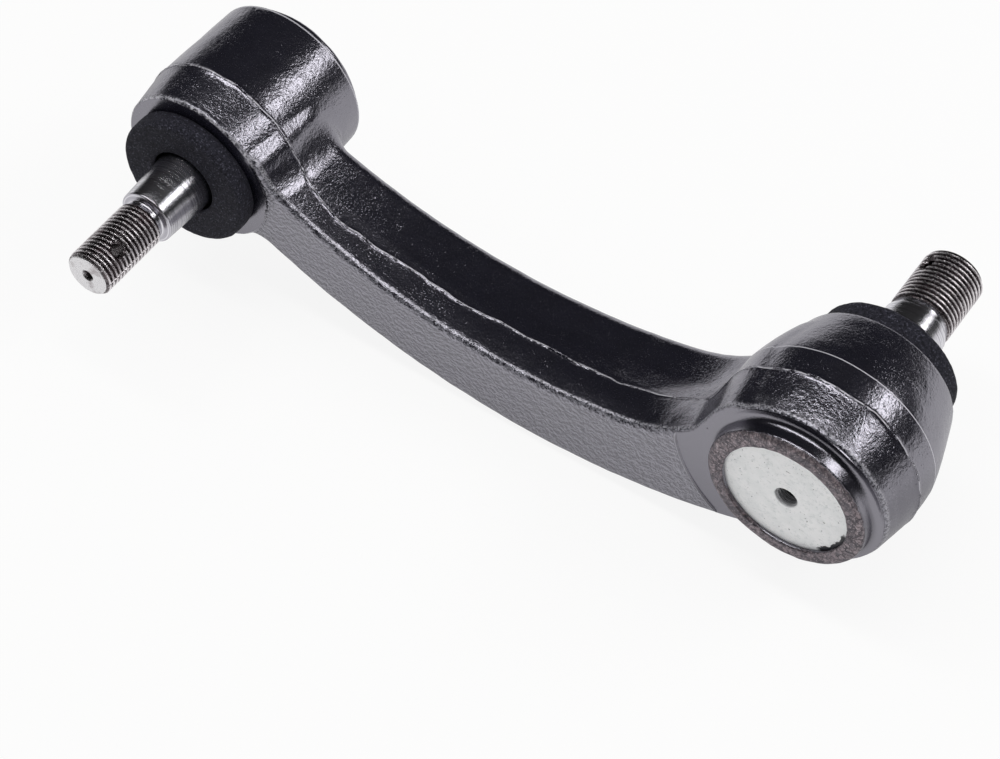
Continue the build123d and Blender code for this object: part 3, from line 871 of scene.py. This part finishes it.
class Paint(Nodes):
    """A piece's material under construction."""

    def __init__(self, name):
        self.material = bpy.data.materials.new(name)
        super().__init__(self.material)
        self.shader = self.tree.nodes["Principled BSDF"]
        self.shape = self.add("ShaderNodeTexCoord")
        self.where = self.shape.outputs["Object"]
        split = self.add("ShaderNodeSeparateXYZ", {0: self.where}).outputs
        self.x, self.y, self.z = (self.math("MULTIPLY", axis, 1 / MM) for axis in split)

    def set(self, **values):
        for key, value in values.items():
            self.put(self.shader.inputs[key.replace("_", " ")], value)

    def value(self, name):
        return self.add("ShaderNodeAttribute", attribute_name=name).outputs["Fac"]

    def radius(self, centre_x):
        """Distance from a barrel's axis, in millimetres."""
        return self.hypot(self.math("SUBTRACT", self.x, centre_x), self.y)

    def ring(self, centre_x, radius, height, width):
        """1 along a circle round a barrel's axis, falling to 0 at width from it."""
        away = self.hypot(
            self.math("SUBTRACT", self.radius(centre_x), radius),
            self.math("SUBTRACT", self.z, height))
        return self.within(away, width, width * 0.4)

    def noise(self, size, detail=4.0, rough=0.6, shift=None):
        """Noise whose waves are about size millimetres long."""
        vector = self.where
        if shift:
            moved = [part * MM for part in shift]
            vector = self.add("ShaderNodeMapping", {"Vector": vector, "Location": moved}).outputs[0]
        made = self.add("ShaderNodeTexNoise", {
            "Vector": vector, "Scale": 1 / (size * MM), "Detail": detail, "Roughness": rough})
        return made.outputs["Fac"]

    def pimples(self, size, radius):
        """Small round bumps: one to each cell about size millimetres across."""
        made = self.add("ShaderNodeTexVoronoi", {"Vector": self.where, "Scale": 1 / (size * MM)})
        return self.within(made.outputs["Distance"], radius / size, 0.0)

    def cracks(self, size, width):
        """Lines between irregular cells about size millimetres across."""
        wander = self.add("ShaderNodeTexNoise", {
            "Vector": self.where, "Scale": 1 / (size * 0.6 * MM), "Detail": 3.0})
        shifted = self.add("ShaderNodeVectorMath", {
            0: wander.outputs["Color"], "Scale": size * 0.9 * MM}, operation="SCALE")
        place = self.add("ShaderNodeVectorMath", {
            0: self.where, 1: shifted.outputs[0]}, operation="ADD")
        made = self.add("ShaderNodeTexVoronoi", {
            "Vector": place.outputs[0], "Scale": 1 / (size * MM)}, feature="DISTANCE_TO_EDGE")
        return self.within(made.outputs["Distance"], width / size, 0.0)

    def ramp(self, value, *stops):
        """Map a value through (position, grey or colour) stops."""
        made = self.add("ShaderNodeValToRGB", {"Fac": value})
        ramp = made.color_ramp
        while len(ramp.elements) < len(stops):
            ramp.elements.new(0.5)
        for element, (place, colour) in zip(ramp.elements, stops):
            element.position = place
            element.color = as_colour(colour)
        return made.outputs["Color"]

    def mix(self, factor, a, b):
        return self.add(
            "ShaderNodeMix", {0: factor, 6: as_colour(a), 7: as_colour(b)},
            data_type="RGBA").outputs[2]

    def bumps(self, *layers, strength=1.0):
        """Stack bump layers of (height socket, depth in millimetres)."""
        normal = None
        for height, depth in layers:
            made = self.add("ShaderNodeBump", {
                "Height": height, "Distance": depth * MM, "Strength": strength})
            if normal is not None:
                self.put(made.inputs["Normal"], normal)
            normal = made.outputs[0]
        self.put(self.shader.inputs["Normal"], normal)


def dress(piece, paint, node):
    """Give a piece its finish, and let it stand for its CAD node."""
    piece.data.materials.clear()
    piece.data.materials.append(paint.material)
    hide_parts(node)


PAINT_DARK = (0.002, 0.002, 0.0055)
PAINT_LIGHT = (0.0075, 0.0075, 0.015)
PAINT_SHEEN = (0.92, 0.89, 1.0, 1.0)
# Colour of bare metal, also used for the painted front-edge highlight
BARE_AND_HIGHLIGHT = (0.62, 0.61, 0.64)
# Offset between the two noises of the painted relief shade on the forging's side
RELIEF_LIGHT_SHIFT = (0.12, -0.4, 0.0)


def forging_paint():
    """Thin black paint on a rough forging, worn through along the parting line."""
    paint = Paint("forging_paint")
    root = paint.all(
        paint.within(paint.radius(0.0), 26.0, 23.5), paint.within(paint.z, -20.6, -21.6))
    rough = paint.all(paint.value("rough"), paint.less(paint.all(root, 0.85)))
    grain = paint.noise(0.34, 3.0, 0.7)
    hammer = paint.noise(0.95, 2.0, 0.6)
    lumps = paint.noise(5.0, 3.0, 0.5)
    patchy = paint.within(paint.noise(9.0, 3.0, 0.6), 0.42, 0.6)
    small = paint.all(paint.pimples(0.62, 0.24), patchy)
    large = paint.all(paint.pimples(1.5, 0.36), paint.within(paint.noise(3.0), 0.55, 0.62))
    side = paint.all(paint.within(paint.z, -18.6, -20.0), rough)
    broken = paint.within(paint.noise(7.0, 4.0, 0.75), 0.42, 0.5)
    crumbs = paint.within(paint.noise(0.9, 3.0, 0.7), 0.32, 0.45)
    flash = paint.math("ABSOLUTE", paint.value("flash"))
    seam = paint.all(paint.within(flash, 0.24, 0.08), broken, crumbs, rough)
    edge_height = paint.math("ABSOLUTE", paint.math("SUBTRACT", paint.z, 0.2))
    edge = paint.all(
        paint.within(edge_height, 0.22, 0.1), paint.within(paint.radius(0.0), 33.0, 30.0))
    rim = paint.ring(CENTRES, 24.4, 20.9, 0.42)
    ragged = paint.within(paint.noise(1.8, 4.0, 0.8), 0.46, 0.58)
    face_edge = paint.all(paint.ring(CENTRES, 23.8, -20.2, 0.5), ragged)
    spotface = paint.all(paint.ring(0.0, SPOTFACE, -21.0, 0.42), 0.55)
    # A broken line along the front edge, where the normal turns halfway between the camera and the
    # strip lamp, is painted bare: partly rubbed paint, partly a painted highlight.
    facing = paint.add("ShaderNodeSeparateXYZ", {0: paint.shape.outputs["Normal"]}).outputs["Z"]
    turned = paint.math("ABSOLUTE", paint.math("ADD", facing, 0.36))
    rubbed_and_highlight = paint.all(
        paint.within(turned, 0.2, 0.04), paint.within(paint.z, -15.0, -17.0), rough,
        paint.within(paint.noise(0.6, 3.0, 0.8), 0.42, 0.56), 0.5)
    # The bare marks are worn paint, with the painted front-edge highlight among them.
    bare = paint.any(seam, edge, rim, face_edge, spotface, rubbed_and_highlight)
    skin = paint.mix(lumps, PAINT_DARK, PAINT_LIGHT)
    # Painted relief shade: the difference of two offset noises paints the side as if its hammered
    # relief were lit from above.
    painted_relief_shade = paint.within(paint.math(
        "SUBTRACT", paint.noise(1.2, 3.0, 0.6), paint.noise(1.2, 3.0, 0.6, RELIEF_LIGHT_SHIFT)), -0.1, 0.1)
    # The lower side is painted lighter than the rest, a painted reflection of the white table below
    # it.
    skin = paint.mix(side, skin, paint.mix(painted_relief_shade, (0.01, 0.01, 0.016), (0.16, 0.16, 0.18)))
    roughness = paint.ramp(grain, (0.3, 0.16), (0.75, 0.3))
    paint.set(
        Base_Color=paint.mix(paint.all(bare, 0.85), skin, BARE_AND_HIGHLIGHT),
        Roughness=paint.mix(bare, roughness, 0.5),
        IOR=2.1, Specular_Tint=PAINT_SHEEN,
        Specular_IOR_Level=paint.less(paint.all(paint.less(painted_relief_shade), side, 0.3)))
    split = paint.all(paint.within(flash, 0.42, 0.1), paint.less(broken), rough)
    paint.bumps(
        (lumps, 0.1),
        (paint.all(hammer, paint.math("ADD", paint.all(rough, 0.9), 0.1)), 0.11),
        (paint.all(hammer, side), 0.3),
        (paint.all(large, rough), 0.06),
        (paint.all(small, rough), 0.05),
        (grain, 0.02),
        (paint.all(paint.within(flash, 0.5, 0.1), broken, rough), 0.04),
        (paint.less(split), 0.3))
    return paint


def lip_paint(crown_z):
    """The frame lip: black outside, and its rolled crown bare, brown and scratched."""
    paint = Paint("rolled_lip")
    grain = paint.noise(0.5, 4.0, 0.7)
    patches = paint.noise(1.7, 4.0, 0.7)
    out = paint.radius(0.0)
    depth = paint.math("SUBTRACT", paint.z, crown_z)
    ragged = paint.math("ADD", depth, paint.all(patches, 1.4))
    crown = paint.all(paint.within(ragged, 1.9, 1.5), paint.within(out, 17.95, 18.1))
    scratches = paint.any(paint.cracks(2.0, 0.12), paint.cracks(4.6, 0.14))
    # Light flecks on the crown are painted glints.
    bright = paint.within(paint.noise(0.55, 3.0, 0.8), 0.56, 0.66)
    worn = paint.mix(paint.within(patches, 0.4, 0.62), (0.045, 0.032, 0.035), (0.25, 0.195, 0.2))
    worn = paint.mix(paint.all(bright, 0.8), worn, (0.6, 0.53, 0.54))
    worn = paint.mix(paint.all(scratches, 0.85), worn, (0.012, 0.008, 0.01))
    paint.set(
        Base_Color=paint.mix(crown, PAINT_DARK, worn),
        Metallic=paint.all(crown, 0.35),
        Roughness=paint.mix(crown, 0.2, paint.ramp(grain, (0.3, 0.3), (0.7, 0.5))),
        IOR=2.1, Specular_IOR_Level=paint.mix(crown, 1.0, 0.5), Specular_Tint=PAINT_SHEEN)
    paint.bumps(
        (paint.all(patches, crown), 0.3), (grain, 0.05),
        (paint.less(paint.all(scratches, crown)), 0.2))
    return paint


def steel():
    """Ground taper with fine rings, threads darker in the grooves and lighter on the crests with
    painted glints, and a light end face.
    """
    paint = Paint("turned_steel")
    along = paint.value("along")
    out = paint.value("out")
    thread = paint.value("thread")
    grain = paint.noise(0.4, 4.0, 0.7)
    broad = paint.noise(5.0, 3.0, 0.6)
    rings = paint.add("ShaderNodeTexNoise", {
        "W": along, "Scale": 1.6, "Detail": 5.0, "Roughness": 0.85}, noise_dimensions="1D")
    rings = rings.outputs["Fac"]
    # Thread crests are coloured light and grooves dark, and light patches on the thread are painted
    # glints.
    crest = paint.within(out, -0.35, 0.0)
    clean = paint.mix(paint.within(rings, 0.3, 0.7), (0.34, 0.33, 0.37), (0.86, 0.85, 0.89))
    cut = paint.mix(crest, (0.1, 0.085, 0.09), (0.84, 0.8, 0.82))
    glints = paint.all(paint.within(paint.noise(0.7, 3.0, 0.8), 0.56, 0.64), 0.8)
    cut = paint.mix(glints, cut, (0.95, 0.92, 0.95))
    stained = paint.all(paint.within(broad, 0.5, 0.7), thread, 0.6)
    tip = paint.value("tip")
    colour = paint.mix(tip, paint.mix(thread, clean, cut), paint.mix(
        grain, (0.62, 0.61, 0.63), (0.8, 0.79, 0.8)))
    paint.set(
        Base_Color=paint.mix(stained, colour, (0.2, 0.16, 0.17)),
        Metallic=1.0,
        Roughness=paint.mix(thread, paint.ramp(grain, (0.3, 0.14), (0.7, 0.26)), paint.ramp(
            grain, (0.3, 0.14), (0.7, 0.36))))
    paint.bumps((rings, 0.035), (paint.all(grain, thread), 0.1), (grain, 0.03))
    return paint


def foam():
    """Charcoal closed-cell foam with a grainy skin."""
    paint = Paint("seal_foam")
    grain = paint.noise(0.75, 4.0, 0.8)
    cells = paint.noise(0.5, 2.0, 0.7)
    broad = paint.noise(7.0, 3.0, 0.6)
    colour = paint.mix(paint.within(grain, 0.35, 0.65), (0.003, 0.003, 0.007), (0.03, 0.029, 0.043))
    colour = paint.mix(paint.all(paint.within(cells, 0.58, 0.66), 0.7), colour, (0.16, 0.16, 0.21))
    paint.set(
        Base_Color=paint.mix(paint.all(broad, 0.3), colour, (0.016, 0.016, 0.024)),
        Roughness=0.82, Specular_IOR_Level=0.3)
    paint.bumps((grain, 0.45), (cells, 0.2))
    return paint


def plating(centre_x):
    """Dull bright zinc with dark specks, and on the frame cover some black paint at its edge."""
    paint = Paint("cover_plating")
    grain = paint.noise(0.35, 4.0, 0.7)
    cloud = paint.noise(4.0, 4.0, 0.65)
    speck = paint.within(paint.noise(0.8, 1.0, 0.5), 0.73, 0.78)
    smears = paint.noise(1.3, 4.0, 0.75)
    colour = paint.mix(paint.within(cloud, 0.35, 0.65), (0.92, 0.93, 0.93), (1.0, 1.0, 1.0))
    colour = paint.mix(paint.within(smears, 0.5, 0.7), colour, (0.78, 0.8, 0.8))
    colour = paint.mix(paint.all(speck, 0.8), colour, (0.12, 0.12, 0.12))
    out = paint.radius(centre_x)
    # The tapped hole is painted darker, as painted shade inside it.
    hole = paint.within(out, 3.35, 3.1)
    colour = paint.mix(hole, colour, (0.3, 0.3, 0.31))
    metal = 0.25
    if not centre_x:
        toward = math.radians(-149)
        side = paint.math("ADD", paint.math("MULTIPLY", paint.x, math.cos(toward)), paint.math(
            "MULTIPLY", paint.y, math.sin(toward)))
        stretch = paint.within(paint.math("DIVIDE", side, out), 0.91, 0.95)
        ragged = paint.math("ADD", out, paint.all(paint.noise(2.2, 4.0, 0.7), 3.4))
        chips = paint.all(stretch, paint.within(ragged, 18.5, 18.65))
        colour = paint.mix(chips, colour, PAINT_LIGHT)
        metal = paint.math("MULTIPLY", paint.less(chips), metal)
    paint.set(
        Base_Color=colour, Metallic=metal, Roughness=paint.ramp(grain, (0.3, 0.38), (0.7, 0.56)))
    paint.bumps((cloud, 0.05), (smears, 0.04), (grain, 0.03))
    return paint


def plain_metal(name, dark, light, low, high):
    """A machined or sintered metal for the pieces inside."""
    paint = Paint(name)
    grain = paint.noise(0.5, 4.0, 0.7)
    broad = paint.noise(8.0, 3.0, 0.6)
    paint.set(
        Base_Color=paint.mix(broad, dark, light), Metallic=1.0,
        Roughness=paint.ramp(grain, (0.3, low), (0.7, high)))
    paint.bumps((grain, 0.03), strength=0.5)
    return paint


# Stage, light and camera

FLOOR_Y = -40.7
FLOOR_HALF = 1500.0
FLOOR_COLOUR = (0.92, 0.91, 0.89, 1.0)
FLOOR_SHOWN_LIT = 0.12
FLOOR_REFLECTED_LIT = 0.1
FLOOR_NEAR = 0.66
FLOOR_SHADE = (18.0, 52.0)
HORIZON = (-0.1, 0.06)
ZENITH = 0.02
AMBIENT = 0.4
AMBIENT_COLOUR = (0.96, 0.97, 1.0, 1.0)


def floor():
    """A white table, seen from above only, that keeps the object's shadow.

    Metal reflects its glow dimmer close to the arm: a painted shadow of the arm in that glow.
    """
    corners = [
        (x * FLOOR_HALF, FLOOR_Y, z * FLOOR_HALF)
        for x, z in ((-1, -1), (-1, 1), (1, 1), (1, -1))]
    table = make_object("floor", corners, [(0, 1, 2, 3)], None)
    material = bpy.data.materials.new("floor_white")
    nodes = Nodes(material)
    nodes.tree.nodes.clear()
    direct, mirrored = nodes.rays()
    place = nodes.add("ShaderNodeTexCoord").outputs["Object"]
    aside = nodes.math("ABSOLUTE", nodes.add("ShaderNodeSeparateXYZ", {0: place}).outputs["Z"])
    shade = nodes.within(aside, FLOOR_SHADE[0] * MM, FLOOR_SHADE[1] * MM, FLOOR_NEAR, 1.0)
    glow = nodes.add("ShaderNodeEmission", {"Strength": nodes.any(direct, shade)})
    diffuse = nodes.add("ShaderNodeBsdfDiffuse", {"Color": FLOOR_COLOUR})
    seen = nodes.math(
        "ADD", nodes.math("MULTIPLY", direct, 1 - FLOOR_SHOWN_LIT),
        nodes.math("MULTIPLY", mirrored, 1 - FLOOR_REFLECTED_LIT))
    under = nodes.add("ShaderNodeNewGeometry").outputs["Backfacing"]
    clear = nodes.add("ShaderNodeBsdfTransparent")
    surface = nodes.either(under, nodes.either(seen, diffuse, glow), clear)
    nodes.add("ShaderNodeOutputMaterial", {0: surface.outputs[0]})
    table.data.materials.append(material)


def studio():
    """A room that is white to the camera, dark overhead in reflections, and modest as a light."""
    world = bpy.data.worlds.new("studio")
    bpy.context.scene.world = world
    nodes = Nodes(world)
    nodes.tree.nodes.clear()
    direct, mirrored = nodes.rays()
    direction = nodes.add("ShaderNodeTexCoord").outputs["Generated"]
    up = nodes.add("ShaderNodeSeparateXYZ", {0: direction}).outputs["Y"]
    grade = nodes.within(up, HORIZON[0], HORIZON[1], 1.0, ZENITH)
    backdrop = nodes.add("ShaderNodeBackground", {"Strength": nodes.any(direct, grade)})
    dim = nodes.add("ShaderNodeBackground", {"Color": AMBIENT_COLOUR, "Strength": AMBIENT})
    room = nodes.either(nodes.any(direct, mirrored), dim, backdrop)
    nodes.add("ShaderNodeOutputWorld", {0: room.outputs[0]})


def lights():
    lamp("key", direction=(-0.62, 0.655, 0.43), long_way=(0.33, -0.26, 0.8), distance=1460,
         width=330, height=900, radiance=5.5)
    lamp("strip", direction=(0.16, 0.98, -0.08), long_way=(1.0, 0.0, 0.0), distance=1100,
         width=190, height=1350, radiance=7.0)


def lamp(name, direction, long_way, distance, width, height, radiance):
    """A soft box out in a direction from the arm's middle, with the radiance of its face."""
    outward = Vector(direction).normalized()
    across = Vector(long_way).cross(outward).normalized()
    turn = Matrix((across, outward.cross(across), outward)).transposed().to_4x4()
    data = bpy.data.lights.new(name, "AREA")
    data.shape = "RECTANGLE"
    data.size = width * MM
    data.size_y = height * MM
    data.energy = radiance * math.pi * data.size * data.size_y
    light = bpy.data.objects.new(name, data)
    place = (Vector((CENTRES / 2, 0.0, 0.0)) + outward * distance) * MM
    light.matrix_world = Matrix.Translation(place) @ turn
    light.visible_camera = False
    bpy.context.scene.collection.objects.link(light)


def camera():
    data = bpy.data.cameras.new("camera")
    data.sensor_width = CAMERA_SENSOR
    data.lens = CAMERA_LENS
    data.clip_start, data.clip_end = CAMERA_CLIP
    viewer = bpy.data.objects.new("camera", data)
    columns = Matrix((CAMERA_RIGHT, CAMERA_UP, CAMERA_BACK)).transposed()
    viewer.matrix_world = Matrix.Translation(Vector(CAMERA_PLACE) * MM) @ columns.to_4x4()
    bpy.context.scene.collection.objects.link(viewer)
    bpy.context.scene.camera = viewer


def socket_points(piece, end):
    """The piece's points in its own end's frame, with the stud upright along +Z."""
    points = mesh_points(piece)
    if end is LINK:
        origin = at_leaned_link(np.zeros((1, 3)))[0]
        axes = at_leaned_link(np.eye(3)) - origin
        points = (points - origin) @ axes.T
    return points


def mark_stud(piece, end):
    """Values that a stud's finish reads: height, distance from the crests, thread, end face."""
    p = socket_points(piece, end)
    point_values(piece, "along", p[:, 2])
    point_values(piece, "out", from_axis(p) - end.thread)
    start = end.tip - end.thread_length
    point_values(piece, "thread", np.clip((p[:, 2] - start + 0.5) / 0.4, 0, 1))
    point_values(piece, "tip", np.clip((p[:, 2] - end.tip + 0.3) / 0.2, 0, 1))


camera()
floor()
studio()
lights()

black = forging_paint()
dress(forging(), black, "arm_forging")
crown_z = -FRAME.foot - FRAME.lip_height
dress(lip(FRAME), lip_paint(crown_z), "arm_forging")
dress(lip(LINK), black, "arm_forging")
metal = steel()
rubber = foam()
for end in (FRAME, LINK):
    piece = stud(end)
    mark_stud(piece, end)
    dress(piece, metal, end.name + "_stud")
    centre_x = 0.0 if end is FRAME else CENTRES
    dress(cover_plate(end), plating(centre_x), end.name + "_cover")
    ring = dust_seal(end)
    low = np.array([(0, 0, end.face)])
    high = np.array([(0, 0, end.face + SEAL_HEIGHT)])
    tuple(end.place(low)[0] * MM)
    tuple(end.stud_place(high)[0] * MM)
    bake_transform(ring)
    dress(ring, rubber, end.name + "_dust_seal")

INSIDE = {
    "half_ball_bearing": plain_metal("sintered", (0.2, 0.18, 0.15), (0.34, 0.31, 0.27), 0.4, 0.6),
    "pressure_seat": plain_metal("sintered_seat", (0.22, 0.2, 0.17), (0.36, 0.33, 0.3), 0.4, 0.6),
    "inner_disc_spring": plain_metal("spring", (0.12, 0.12, 0.15), (0.3, 0.3, 0.34), 0.25, 0.4),
    "outer_disc_spring": plain_metal("spring_out", (0.12, 0.12, 0.15), (0.3, 0.3, 0.34), 0.25, 0.4),
}
for end in (FRAME, LINK):
    for name, paint in INSIDE.items():
        node = bpy.data.objects[end.name + "_" + name]
        node.material_slots[0].material = paint.material

bpy.context.scene.view_settings.view_transform = "Standard"
